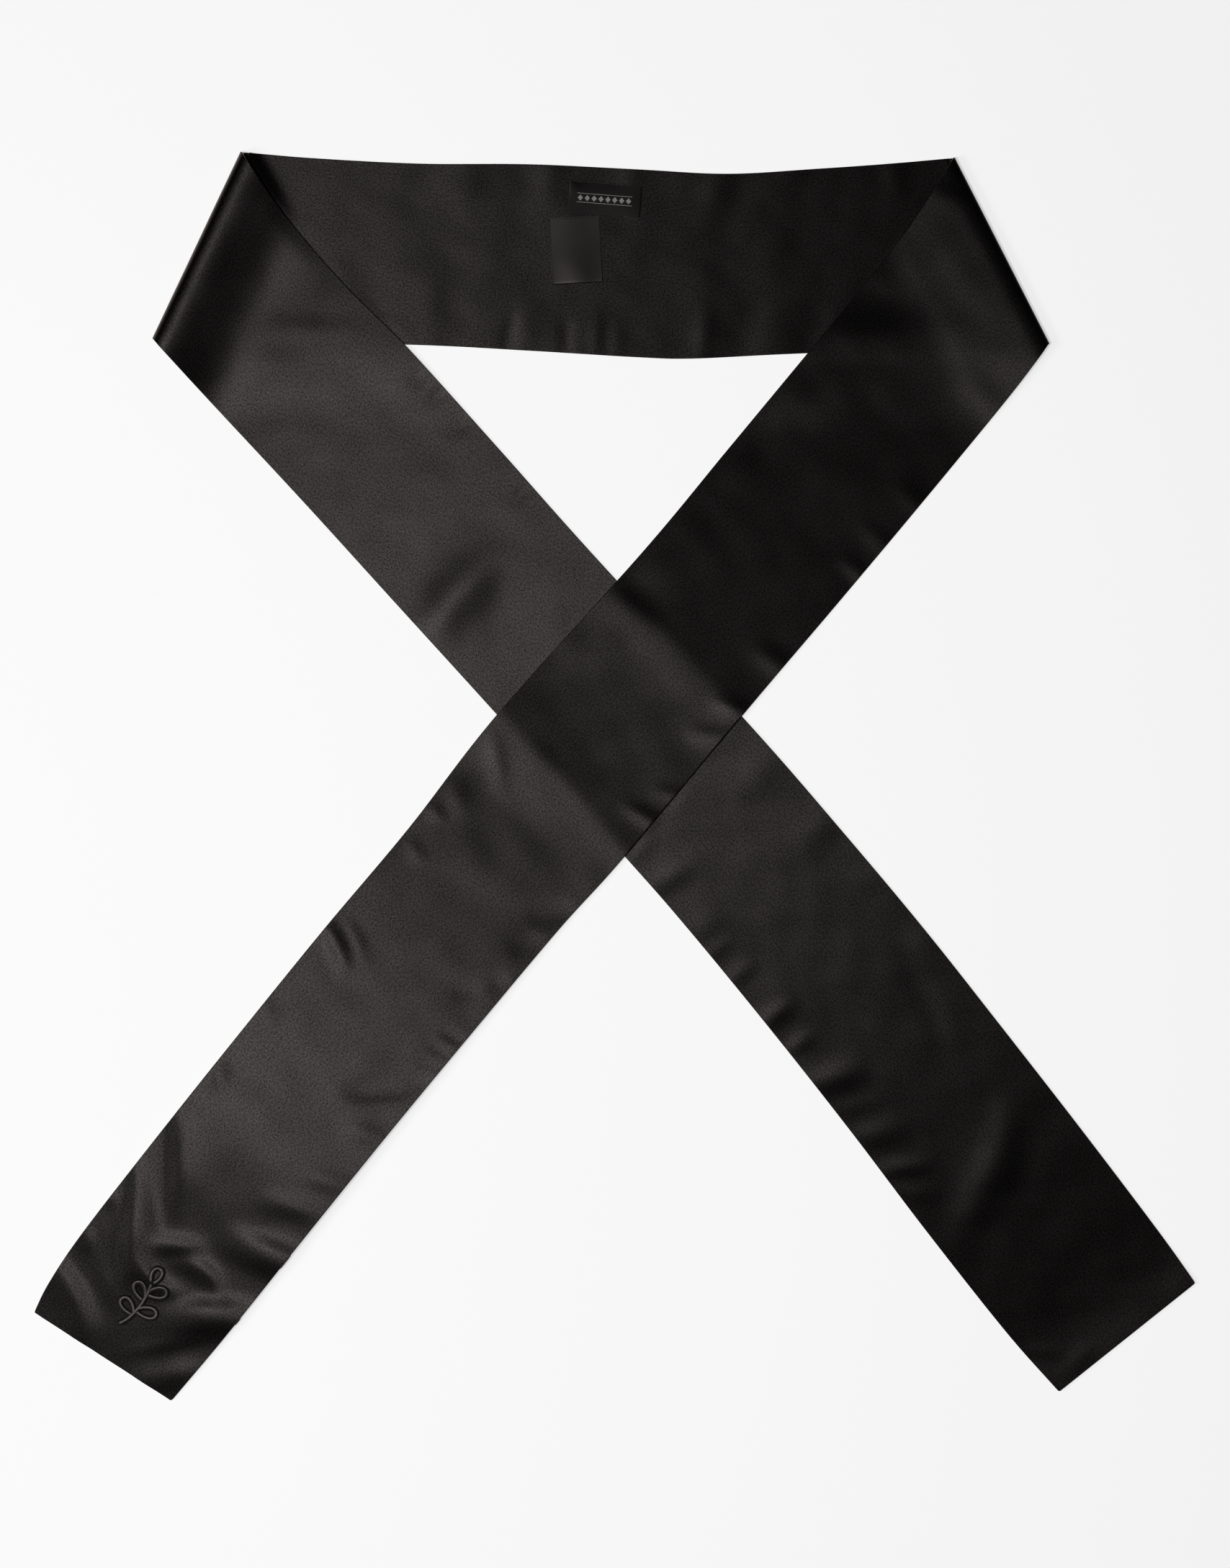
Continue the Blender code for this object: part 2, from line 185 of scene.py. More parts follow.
# u runs along the threads and v across them, both in metres of cloth
def clothCoordinates(finish, sizeAlong, sizeAcross):
    cloth = finish.node("UVMap", dict(uv_map="cloth"))
    scale = (1.0 / (sizeAlong * mm), 1.0 / (sizeAcross * mm), 1.0)
    return finish.node("Mapping", None, {0: cloth, 3: scale})


# Noise of a size along the threads and a size across them, in millimetres of cloth
def noise(finish, sizeAlong, sizeAcross, detail=2.0):
    place = clothCoordinates(finish, sizeAlong, sizeAcross)
    return finish.node("TexNoise", None, {"Vector": place, "Scale": 1.0, "Detail": detail})


# Heights in millimetres
def bump(finish, height):
    return finish.node("Bump", None, {"Strength": 1.0, "Distance": mm, "Height": height})


# A roughness that a noise, from 0 to 1, spreads out on both sides
def unevenRoughness(share, roughness, spread):
    return share * spread + (roughness - spread / 2)


def satinFinish(name):
    finish = Finish(name)
    speckle = noise(finish, satin["speckleSize"], satin["speckleSize"])
    sparkle = noise(finish, satin["sparkleSize"], satin["sparkleSize"])
    grain = noise(finish, satin["grainSize"], satin["grainSize"])
    strands = noise(finish, satin["threadLength"], satin["threadWidth"])
    clouds = noise(finish, satin["cloudSize"], satin["cloudSize"], satin["cloudDetail"])
    paleShare = (speckle * satin["speckleStrength"] + sparkle * satin["sparkleStrength"]
                 + clouds * satin["cloudStrength"] - satin["paleFrom"])
    finish.set(**{
        "Base Color": finish.mixColour(paleShare, satin["colour"], satin["paleColour"]),
        "Metallic": satin["metallic"],
        "Roughness": unevenRoughness(grain, satin["roughness"], satin["roughnessSpread"]),
        "Anisotropic": satin["anisotropy"],
        "Specular IOR Level": satin["specular"],
        "Specular Tint": satin["tint"],
        "Normal": bump(finish, grain * satin["grainDepth"] + strands * satin["threadDepth"]),
    })
    return finish.material


# Edges of the stretches seen from above, in millimetres: from the corner fold to the sewn end,
# and the neck's from its left corner to its right one
outlines = dict(
    leftFold=[(-184.1, 308.0), (-163.5, 278.0), (-133.5, 243.0), (-102.5, 212.0), (-56.5, 161.0),
              (-12.0, 111.0), (67.5, 24.5), (111.0, -25.5), (152.5, -75.0), (192.0, -125.0),
              (230.5, -174.5), (268.0, -224.0), (286.3, -249.7)],
    leftSeam=[(-227.7, 215.7), (-200.5, 186.0), (-154.0, 136.0), (-109.0, 86.5), (-63.5, 36.5),
              (5.0, -39.5), (36.0, -75.0), (77.0, -125.0), (116.0, -174.5), (153.5, -224.0),
              (193.0, -274.0), (219.0, -303.4)],
    rightFold=[(167.4, 305.1), (143.5, 268.5), (116.0, 234.0), (97.0, 211.0), (55.5, 161.0),
               (14.0, 111.0), (-58.0, 30.5), (-101.5, -25.5), (-143.0, -75.0), (-183.5, -125.0),
               (-223.0, -174.5), (-261.5, -224.0), (-278.5, -249.0), (-286.3, -264.3)],
    rightSeam=[(214.2, 213.2), (193.5, 186.0), (152.5, 136.0), (111.0, 86.5), (68.5, 36.5),
               (5.0, -39.5), (-27.0, -75.0), (-69.0, -125.0), (-110.0, -174.5),
               (-150.0, -224.0), (-190.0, -274.0), (-218.5, -308.0)],
    neckFold=[(-184.1, 308.0), (-148.5, 305.0), (-95.5, 302.3), (-42.0, 302.0), (11.0, 299.5),
              (55.5, 297.3), (100.0, 299.8), (135.5, 302.3), (167.4, 305.1)],
    neckSeam=[(-227.7, 215.7), (-161.0, 214.0), (-95.5, 212.8), (-42.0, 210.0), (11.0, 206.8),
              (38.0, 206.1), (82.0, 208.2), (158.5, 211.4), (214.2, 213.2)],
)


def smoothStep(share):
    share = np.clip(share, 0.0, 1.0)
    return share * share * (3.0 - 2.0 * share)


# A smooth line through a few points (Catmull-Rom cubics), read by the share of its length
class Edge:
    def __init__(self, rows, steps=14):
        knots = np.array(rows, float)
        knots = np.vstack([2 * knots[0] - knots[1], knots, 2 * knots[-1] - knots[-2]])
        before, start, end, after = (knots[i:len(knots) - 3 + i, None] for i in range(4))
        t = np.linspace(0.0, 1.0, steps, endpoint=False)[None, :, None]
        line = 0.5 * (2 * start + (end - before) * t
                      + (2 * before - 5 * start + 4 * end - after) * t ** 2
                      + (3 * start - before - 3 * end + after) * t ** 3)
        self.points = np.vstack([line.reshape(-1, 2), rows[-1]])
        lengths = np.hypot(*np.diff(self.points, axis=0).T)
        self.length = lengths.sum()
        self.share = np.concatenate([[0.0], np.cumsum(lengths)]) / self.length
        tangents = np.gradient(self.points, axis=0)
        self.tangents = tangents / np.linalg.norm(tangents, axis=1, keepdims=True)

    def at(self, share):
        return np.stack([np.interp(share, self.share, self.points[:, i]) for i in (0, 1)], -1)

    # distance to the left of the line: the offset from its nearest point, of every few, crossed
    # with its direction there
    def leftOf(self, plan, every=3):
        flat = plan.reshape(-1, 2)
        gaps = ((flat[:, None, :] - self.points[::every]) ** 2).sum(-1)
        nearest = np.argmin(gaps, axis=1) * every
        offset = flat - self.points[nearest]
        tangent = self.tangents[nearest]
        left = tangent[:, 0] * offset[:, 1] - tangent[:, 1] * offset[:, 0]
        return left.reshape(plan.shape[:-1])

    def shareAtDepth(self, corner, depth):
        depths = corner.depth(self.points)
        if depths[0] > depths[-1]:
            return np.interp(depth, depths[::-1], self.share[::-1])
        return np.interp(depth, depths, self.share)


# The outermost line of a corner fold, and how deep a point lies behind it
class Corner:
    def __init__(self, foldRows, seamRows):
        self.start = np.array(foldRows[0])
        line = np.array(seamRows[0]) - self.start
        inward = np.array([-line[1], line[0]]) / np.hypot(*line)
        self.inward = inward if inward @ self.start < 0 else -inward

    def depth(self, plan):
        return (plan - self.start) @ self.inward


class Band:
    def __init__(self, name, side):
        self.fold, self.seam = Edge(outlines[name + "Fold"]), Edge(outlines[name + "Seam"])
        self.side = side  # +1 when the fold edge is on the left, going from the corner

    # how far inside the band, below 0 outside it
    def depth(self, plan):
        return np.minimum(-self.side * self.fold.leftOf(plan), self.side * self.seam.leftOf(plan))


neck, left, right = Band("neck", 1.0), Band("left", 1.0), Band("right", -1.0)
leftCorner = Corner(outlines["leftFold"], outlines["leftSeam"])
rightCorner = Corner(outlines["rightFold"], outlines["rightSeam"])

# How the pressed tube lies: sizes in millimetres, turns in degrees
tube = dict(
    thickness=1.3, gap=0.07, shell=0.35, sharpAngle=60.0,
    around=180.0, neckLength=372.0, sideLength=728.0,
    # its sections: every pitch along, and columns close together at the round edges
    pitch=1.6, innerColumns=51, support=0.3, edgeTurns=(10.0, 26.0, 42.0, 58.0, 74.0),
    edgeRound=0.22, crossingRound=0.8, crossingFade=4.0, seamGroove=0.3,
    endTurns=(0.0, 15.0, 30.0, 45.0, 60.0, 75.0, 84.0), endRound=0.25, cornerRound=1.0,
    # depth behind a corner where the neck ends and a hanging stretch begins
    splitAtFold=4.0, splitAtSeam=24.0,
    # crossing the left stretch: depth inside its edge, slope (scaled to rise by one layer)
    crossingFold=[(-120.0, 0.0), (-70.0, 0.021), (-30.0, 0.023), (-14.0, 0.036), (-3.0, 0.045),
                  (0.5, 0.0), (4.0, -0.034), (14.0, -0.042), (23.0, -0.014), (32.0, 0.0)],
    crossingSeam=[(-300.0, 0.0), (-280.0, 0.028), (-215.0, 0.036), (-195.0, 0.014),
                  (-175.0, 0.0), (-130.0, -0.006), (-60.0, -0.008), (-30.0, 0.004), (-8.0, 0.037),
                  (0.0, 0.037), (3.0, 0.0), (6.5, -0.042), (17.0, -0.05), (30.0, -0.03),
                  (42.0, 0.0)],
    # the rolls at the corners: height of their widest point, and how far the foot turns out
    leftWaist=2.4, rightWaist=4.2, rollFoot=1.8, rollSquareness=3.0,
    layRows=8, footRows=8, crestRows=24,
    # down from the crest of a roll: depth behind the corner, slope
    leftRoll=[(6.3, 0.0), (8.5, -0.14), (12.0, -0.22), (17.0, -0.27), (27.0, -0.25),
              (34.0, -0.19), (40.0, -0.12), (46.0, -0.05), (54.0, 0.0)],
    rightRoll=[(6.5, 0.0), (9.0, -0.08), (13.0, -0.10), (24.0, -0.09), (44.0, -0.095),
               (54.0, -0.045), (66.0, 0.0)],
    # a hanging stretch comes down off the neck, which rises a little along the left one's edge
    neckRamp=42.0, neckRise=2.6, neckRiseWidth=4.4, neckRiseReach=42.0,
    # up from the sewn end: distance from it, slope
    leftEnd=[(0.0, -0.06), (8.0, -0.065), (16.0, -0.05), (28.0, -0.012), (40.0, 0.0)],
    rightEnd=[(0.0, 0.07), (20.0, 0.08), (40.0, 0.07), (60.0, 0.046), (85.0, 0.02),
              (110.0, 0.0), (150.0, -0.014), (330.0, -0.015), (345.0, 0.0)],
)
# How creases fade: along their line, in lengths, a slope across it, in half widths, and near the
# edge of a stretch that lies on them; then how much of the upper ply's relief the lower one has
crease = dict(reach=0.72, slopeReach=3.0, bell=2.0, fade=4.0, deepest=0.5, lowerShare=0.6,
              lowerSoftness=0.1)
layer = tube["thickness"] + tube["gap"]
half = tube["thickness"] / 2


# Heights along a line of slopes, measured from its first point or from its last; a balanced one
# is tilted so that both its ends lie at the same height
class Profile:
    def __init__(self, rows, fromLast=False, balanced=False, waist=0.0, count=400):
        self.waist = waist
        depths, slopes = np.array(rows).T
        self.depths = np.linspace(depths[0], depths[-1], count)
        steps = np.interp(self.depths, depths, slopes) * (self.depths[1] - self.depths[0])
        self.heights = np.cumsum(steps)
        self.heights -= self.heights[-1 if fromLast else 0]
        if balanced:
            self.heights -= self.heights[-1] * np.linspace(0.0, 1.0, count)
        self.start, self.rise = depths[0], self.heights[0]

    def at(self, depth):
        return np.interp(depth, self.depths, self.heights)

    # scaled to end one layer up
    def overLayer(self, depth):
        return self.at(depth) * layer / self.heights[-1]


leftRoll = Profile(tube["leftRoll"], True, waist=tube["leftWaist"])
rightRoll = Profile(tube["rightRoll"], True, waist=tube["rightWaist"])
leftEnd, rightEnd = Profile(tube["leftEnd"], True), Profile(tube["rightEnd"], balanced=True)
crossingFold, crossingSeam = Profile(tube["crossingFold"]), Profile(tube["crossingSeam"])


def overNeck(plan, corner, roll):
    ramp = layer * smoothStep(1.0 + neck.seam.leftOf(plan) / tube["neckRamp"])
    return ramp + roll.at(corner.depth(plan))


def overLeft(plan):
    fold, seam = -left.fold.leftOf(plan), left.seam.leftOf(plan)
    return (crossingFold.overLayer(fold) + crossingSeam.overLayer(seam) - layer).clip(0.0)


def leftUnderside(plan):
    return overNeck(plan, leftCorner, leftRoll) + endLift(plan, left, leftEnd)


def rightUnderside(plan):
    return (overNeck(plan, rightCorner, rightRoll) + overLeft(plan)
            + endLift(plan, right, rightEnd))


def neckUnderside(plan):
    return np.zeros(plan.shape[:-1])


# How far a hanging stretch lifts on its way from the sewn end
def endLift(plan, band, profile):
    foldEnd, seamEnd = band.fold.points[-1], band.seam.points[-1]
    line = (seamEnd - foldEnd) / np.hypot(*(seamEnd - foldEnd))
    inward = np.array([-line[1], line[0]])
    inward = inward if inward @ (foldEnd + seamEnd) < 0 else -inward
    return profile.at((plan - foldEnd) @ inward)


# Hollows in the upper ply stop short of the lower one
def shallow(relief):
    return np.where(relief < 0.0, crease["deepest"] * np.tanh(relief / crease["deepest"]), relief)


# The lower ply rises under the upper one's ridges: the mean of the relief and its size, softened
def lowerPly(relief):
    return crease["lowerShare"] * (relief + np.hypot(relief, crease["lowerSoftness"])) / 2


# Fades a crease out along its line: one minus the square of along / reach, squared
def softEnds(along, length):
    return np.clip(1.0 - (along / (crease["reach"] * length)) ** 2, 0.0, None) ** 2


# Ridges and troughs: height times a bell across, exp(-|across / half width| ** power), with soft
# ends along a gently bent line; a power over 2 gives a flatter top between steeper flanks
def creaseRelief(plan, rows):
    relief = np.zeros(plan.shape[:-1])
    for x, y, direction, length, halfWidth, height, bend, *shape in rows:
        turn = math.radians(direction)
        away = plan - (x, y)
        along = away @ (math.cos(turn), math.sin(turn))
        across = away @ (-math.sin(turn), math.cos(turn)) - bend * (2.0 * along / length) ** 2
        power = shape[0] if shape else crease["bell"]
        relief += (height * softEnds(along, length)
                   * np.exp(-np.abs(across / halfWidth) ** power))
    return relief


# Slopes: the cloth falls towards the facing by some degrees, and comes back gently on both sides:
# minus the tangent times across, over one plus its square, inside a soft window
def slopeRelief(plan, rows):
    relief = np.zeros(plan.shape[:-1])
    for x, y, facing, length, halfWidth, degrees in rows:
        turn = math.radians(facing)
        away = plan - (x, y)
        across = (away @ (math.cos(turn), math.sin(turn))) / halfWidth
        along = away @ (-math.sin(turn), math.cos(turn))
        shape = across * np.exp(-(across / crease["slopeReach"]) ** 2) / (1.0 + across ** 2)
        relief -= (math.tan(math.radians(degrees)) * halfWidth * shape
                   * softEnds(along, length))
    return relief


# Slight unevenness of pressed cloth: a sum of long low waves in all directions, and of short ones;
# waves as shortest, longest, and the height of one as long as heightLength
uneven = dict(longWaves=(18.0, 60.0, 0.02), shortWaves=(9.0, 24.0, 0.014), heightLength=40.0,
              count=14, leftSeed=3, rightSeed=4, neckSeed=5, shortSeedStep=10)


def unevenness(plan, seed):
    return (waves(plan, seed, *uneven["longWaves"])
            + waves(plan, seed + uneven["shortSeedStep"], *uneven["shortWaves"]))


def waves(plan, seed, shortest, longest, height):
    random = np.random.default_rng(seed)
    relief = np.zeros(plan.shape[:-1])
    for wave in range(uneven["count"]):
        length = random.uniform(shortest, longest)
        turn = random.uniform(0.0, math.pi)
        phase = random.uniform(0.0, 2.0 * math.pi)
        path = plan @ (math.cos(turn), math.sin(turn))
        size = height * length / uneven["heightLength"]
        relief += size * np.sin(2.0 * math.pi * path / length + phase)
    return relief


# x, y, direction, length, half width, height, bend, and for two of them the power
leftCreases = [
    (-150, 220, -2, 80, 6, 0.2, 0),
    (-97, 196, 42, 10, 4, -0.25, 0),
    (-87, 188, 42, 12, 4, -0.35, 0),
    (-77, 172, 42, 14, 4, -0.15, 0),
    (-46, 139, 45, 14, 3.5, -0.25, 0),
    (-77, 91, 51, 56, 12, 1.5, -2),
    (12, -36, 35, 20, 5, 0.2, 0),
    (27, -50, 30, 30, 6, 0.35, 0),
    (46, -73, 35, 28, 9, 0.3, 0),
    (51, -85, 38, 18, 4, 0.17, 0),
    (62, -97, 38, 18, 4.5, 0.22, 0),
    (80, -117, 36, 20, 5, 0.42, 0),
    (91, -132, 30, 16, 4, 0.26, 0),
    (107, -149, 15, 32, 7, 0.7, 0),
    (120, -162, 10, 24, 5, 0.2, 0),
    (129, -177, 6, 26, 6, 0.42, 0),
    (142, -193, 4, 26, 4.5, 0.42, 0),
    (148, -205, -12, 20, 4.5, 0.26, 0),
    (187, -194, 69, 76, 10, 0.75, 6),
    (152, -108, -69, 60, 6, -0.3, 0),
    (70, 0, 40, 30, 9, 0.2, 0),
    (101, -25, 40, 30, 9, 0.3, 0),
    (124, -52, 45, 26, 8, 0.2, 0),
    (210, -283, -10, 20, 3, 0.18, 0),
    (229, -287, 40, 20, 5, 0.2, 0),
]
rightCreases = [
    (126, 218, 1, 84, 9, 0.5, 2),
    (88, 183, 45, 24, 7, 0.25, 0),
    (61, 151, 45, 22, 7, 0.2, 0),
    (36, 121, 45, 22, 8, 0.2, 0),
    (20, 104, 45, 26, 7, 0.3, 0),
    (148, 136, -42, 26, 6, 0.3, 0),
    (130, 117, -42, 22, 5, 0.2, 0),
    (120, 101, -40, 22, 4.5, 0.3, 0),
    (80, 56, -35, 26, 6, 0.45, 0),
    (58, 34, -20, 20, 4, 0.3, 0),
    (48, 20, -5, 22, 4.5, 0.35, 0),
    (29, -9, -10, 20, 4, 0.3, 0),
    (15, -20, -30, 24, 4, 0.35, 0),
    (-58, 7, -82, 30, 4.5, 0.3, 0),
    (-77, -10, -70, 20, 6, 0.3, 0),
    (-88, -18, -60, 10, 3.5, 0.2, 0),
    (-98, -37, -60, 14, 4, 0.2, 0),
    (-68, -42, -70, 26, 9, 0.14, 0),
    (-42, -42, -80, 40, 11, 0.12, 0),
    (-31, -68, 20, 20, 5, -0.45, 0),
    (-44, -83, 30, 16, 6, -0.3, 0),
    (-58, -102, 30, 12, 4, -0.25, 0),
    (-71, -106, 10, 16, 5, -0.25, 0),
    (-80, -128, -25, 12, 3, -0.3, 0),
    (-86, -135, -25, 12, 3.5, -0.2, 0),
    (-92, -142, -15, 14, 3.5, -0.2, 0),
    (-98, -149, -10, 16, 4, -0.3, 0),
    (-112, -153, 8, 36, 5.5, -0.85, 0),
    (-136, -84, -68, 28, 4.2, 0.6, -2),
    (-127, -80, -66, 22, 3.2, 0.22, -1),
    (-171, -118, -75, 24, 6, 0.3, 0),
    (-194, -148, 85, 14, 4, 0.42, 0),
    (-212, -168, 80, 20, 2.5, -0.12, 0),
    (-206, -170, 80, 16, 2, -0.1, 0),
    (-230, -216, 88, 50, 6, 0.35, 0),
    (-173, -184, -38, 90, 21, 0.9, 0),
    (-247, -209, 60, 14, 4, 0.55, 0),
    (-259, -229, 75, 14, 3.5, 0.4, 0),
    (-267, -256, -66, 50, 8, 1.3, -5),
    (-215, -231, -4, 24, 5, 1.05, 0),
    (-203, -243, -34, 28, 5, 0.95, -4),
    (-227, -249, -38, 26, 5, 1.05, 3),
    (-170, -236, -22, 44, 8, 1.4, 0, 2.5),
    (-158, -212, -15, 32, 6, 0.6, 0),
    (-201, -266, 6, 46, 8.5, 2.1, -3, 2.5),
    (-219, -279.5, 12, 44, 3.5, 0.35, 0),
    (-221, -296, 12, 42, 7, 1.0, 0),
    (-141, -199, -10, 22, 5, 0.4, 0),
    (-123, -176, -10, 20, 5, 0.35, 0),
]
neckCreases = [
    (-75, 297, 88, 36, 10, 0.25, 0),
    (-32, 297, 85, 32, 8, 0.3, 0),
    (8, 296, 88, 26, 6, 0.2, 0),
    (51, 291, 72, 36, 8, 0.3, 0),
    (85, 293, 88, 30, 10, 0.15, 0),
    (138, 296, 100, 26, 6, 0.2, 0),
    (-90, 229, 86, 42, 8, 0.3, 0),
    (-52, 218, 78, 26, 3.5, -0.2, 0),
    (-43, 221, 85, 24, 7, 0.15, 0),
    (-24, 215, 88, 22, 3.5, -0.2, 0),
    (-9, 217, 88, 24, 3.5, 0.16, 0),
    (1, 215, 88, 20, 3.5, 0.12, 0),
    (44, 218, 84, 32, 5, 0.24, 0),
    (80, 216, 92, 32, 12, 0.25, 0),
]
# x, y, facing, length, half width, degrees
leftSlopes = [
    (-158, 268, 40, 40, 8, 7),
]
rightSlopes = [
    (126, 243, -115, 44, 8, 2),
    (122, 184, 50, 60, 16, 1.4),
    (125, 206, -90, 90, 7, 1.6),
    (8, 88, 50, 34, 8, 4.5),
    (-32, 10, 50, 44, 9, 1.2),
    (184, 191, 50, 44, 13, 1.3),
    (163, 290, 60, 24, 8, 5),
    (-218.5, -192, 178, 58, 7.5, 17),
    (-240, -216, 177, 56, 5.5, 21),
    (-246, -229, 187, 40, 6, 20),
    (-256, -243, 203, 44, 8, 9),
    (-195, -214, 225, 70, 26, 2.2),
]


# 1 where a stretch doesn't lie on the cloth, fading to 0 at its edge
def clearOf(depth):
    return smoothStep(-depth / crease["fade"])


def leftRelief(plan):
    shape = creaseRelief(plan, leftCreases) + slopeRelief(plan, leftSlopes)
    shape = shape + unevenness(plan, uneven["leftSeed"])
    return shallow(shape * clearOf(right.depth(plan)))


def rightRelief(plan):
    shape = creaseRelief(plan, rightCreases) + slopeRelief(plan, rightSlopes)
    return shallow(shape + unevenness(plan, uneven["rightSeed"]))


def neckRelief(plan):
    shape = creaseRelief(plan, neckCreases) + unevenness(plan, uneven["neckSeed"])
    leftDepth = left.depth(plan)
    shape = shape * clearOf(np.maximum(leftDepth, right.depth(plan)))
    rise = tube["neckRise"] * np.exp(-(leftDepth / tube["neckRiseWidth"]) ** 2)
    rise *= 1.0 - smoothStep(leftCorner.depth(plan) / tube["neckRiseReach"])
    return shallow(shape + rise)


# One section of the tube: upper ply, seam edge, lower ply with every second point, fold edge.
# A ply's half thickness near an edge is a quarter of an ellipse, full from edgeRound inwards; a
# seam edge that lies over the left stretch is rounder, and so shows as a dark line.
def columnsAcross(width, seamRound):
    turns = np.radians(tube["edgeTurns"])
    inset = 1.0 - np.cos(turns)
    first, last = tube["edgeRound"], width - seamRound
    inner = np.linspace(first, last, tube["innerColumns"])
    inner = np.insert(inner, [1, -1], [first + tube["support"], last - tube["support"]])
    places = np.concatenate([tube["edgeRound"] * inset, inner, width - seamRound * inset[::-1]])
    fullness = np.concatenate([np.sin(turns), np.ones(len(inner)), np.sin(turns)[::-1]])
    return places, fullness


def tubeSection(foldPoint, seamPoint, middleHeight, normal, relief, thickness=1.0):
    width = np.hypot(*(seamPoint - foldPoint))
    over = smoothStep(left.depth(seamPoint) / tube["crossingFade"])
    seamRound = tube["edgeRound"] + (tube["crossingRound"] - tube["edgeRound"]) * over
    places, fullness = columnsAcross(width, seamRound)
    share = np.append(places, [width - tube["seamGroove"], 0.0]) / width
    plan = foldPoint + share[:, None] * (seamPoint - foldPoint)
    base = np.column_stack([plan, middleHeight(plan)])
    thick = half * thickness * fullness
    shape = relief(plan[:-2])
    upper = base[:-2] + (thick + shape * fullness)[:, None] * normal
    lower = (base[:-2] + (lowerPly(shape) * fullness - thick)[:, None] * normal)[::2]
    section = np.vstack([upper, base[-2:-1], lower[::-1], base[-1:]])
    down = 2.0 * width - places[::2][::-1]
    across = np.concatenate([places, [width], down, [2.0 * width]])
    return section, across


# Sections round a corner fold: the lower layer lies flat, turns up through a quarter of a small
# oval and over through a quarter of a larger, squarer one, up to the crest. Rows hold the depths
# of both edges behind the corner, the height, the share of the way up to the crest, the way the
# upper ply faces (inwards, upwards) and how far the edges have gone from the neck's to the band's.
def rollSections(band, corner, underside, roll, relief):
    waist, foot = roll.waist, tube["rollFoot"]
    reach, crestHeight = roll.start - half, layer + roll.rise + half
    flatEnd = half + foot
    rows = []
    for share in np.linspace(1.0, 0.0, tube["layRows"], endpoint=False):
        depths = [flatEnd + (start - flatEnd) * share for start in (tube["splitAtFold"],
                                                                    tube["splitAtSeam"])]
        rows.append((depths, half, None, (0.0, -1.0), 0.0))
    for turn in np.radians(np.linspace(0.0, 90.0, tube["footRows"], endpoint=False)):
        facing = np.array([-math.sin(turn) / foot, -math.cos(turn) / (waist - half)])
        height = half + (waist - half) * (1.0 - math.cos(turn))
        rows.append(([half + foot * (1.0 - math.sin(turn))] * 2, height, None,
                     facing / np.hypot(*facing), turn / math.pi))
    power = tube["rollSquareness"]
    for turn in np.radians(np.linspace(0.0, 90.0, tube["crestRows"], endpoint=False)):
        out, up = math.cos(turn) ** (2.0 / power), math.sin(turn) ** (2.0 / power)
        facing = np.array([-out ** (power - 1.0) / reach,
                           up ** (power - 1.0) / (crestHeight - waist)])
        rows.append(([half + reach * (1.0 - out)] * 2, waist, up,
                     facing / np.hypot(*facing), 0.5 + turn / math.pi))
    for depths, height, rise, facing, blend in rows:
        ends = []
        for lowerEdge, upperEdge, depth in ((neck.fold, band.fold, depths[0]),
                                            (neck.seam, band.seam, depths[1])):
            lower = lowerEdge.at(lowerEdge.shareAtDepth(corner, depth))
            upper = upperEdge.at(upperEdge.shareAtDepth(corner, depth))
            ends.append(lower + (upper - lower) * smoothStep(blend))

        def middleHeight(plan):
            if rise is None:
                return np.full(len(plan), height)
            return height + (underside(plan) + half - height) * rise

        normal = np.append(corner.inward * facing[0], facing[1])
        fade = smoothStep(rise or 0.0)
        yield tubeSection(*ends, middleHeight, normal, lambda plan: relief(plan) * fade)


def flatSection(foldPoint, seamPoint, underside, relief, thickness=1.0):
    return tubeSection(foldPoint, seamPoint, lambda plan: underside(plan) + half,
                       np.array([0.0, 0.0, 1.0]), relief, thickness)


# A hanging stretch: round its corner, along to the end, and rounded off at the sewn end
def hangingSections(band, corner, underside, roll, relief):
    sections = list(rollSections(band, corner, underside, roll, relief))
    foldStart = band.fold.shareAtDepth(corner, roll.start)
    seamStart = band.seam.shareAtDepth(corner, roll.start)
    length = band.fold.length * (1.0 - foldStart)
    turns = np.radians(tube["endTurns"])
    rounding = tube["endRound"] * (1.0 - np.sin(turns))
    count = int(length / tube["pitch"])
    fullEnd = 1.0 - (tube["endRound"] + tube["support"]) / length
    shares = np.append(np.linspace(0.0, fullEnd, count), 1.0 - rounding / length)
    thickness = np.append(np.ones(count), np.cos(turns))
    for share, thick in zip(shares, thickness):
        foldPoint = band.fold.at(foldStart + (1.0 - foldStart) * share)
        seamPoint = band.seam.at(seamStart + (1.0 - seamStart) * share)
        fromEnd = (1.0 - share) * length
        if fromEnd < tube["cornerRound"]:
            r = tube["cornerRound"]
            inset = r - math.sqrt(max(r * r - (r - fromEnd) ** 2, 0.0))
            inward = (seamPoint - foldPoint) / np.hypot(*(seamPoint - foldPoint)) * inset
            foldPoint, seamPoint = foldPoint + inward, seamPoint - inward
        sections.append(flatSection(foldPoint, seamPoint, underside, relief, thick))
    return sections


def neckSections():
    shares = [[edge.shareAtDepth(corner, depth) for corner in (leftCorner, rightCorner)]
              for edge, depth in ((neck.fold, tube["splitAtFold"]),
                                  (neck.seam, tube["splitAtSeam"]))]
    sections = []
    for share in np.linspace(0.0, 1.0, int(neck.fold.length / tube["pitch"])):
        foldShare, seamShare = (start + (end - start) * share for start, end in shares)
        sections.append(flatSection(neck.fold.at(foldShare), neck.seam.at(seamShare),
                                    neckUnderside, neckRelief))
    return sections


# The sheen spreads at right angles to the threads, which point to a far centre: the direction
# in which it lies, in degrees, and its distance in metres
threads = dict(neck=178.0, left=131.0, right=50.0, centreDistance=5.0)


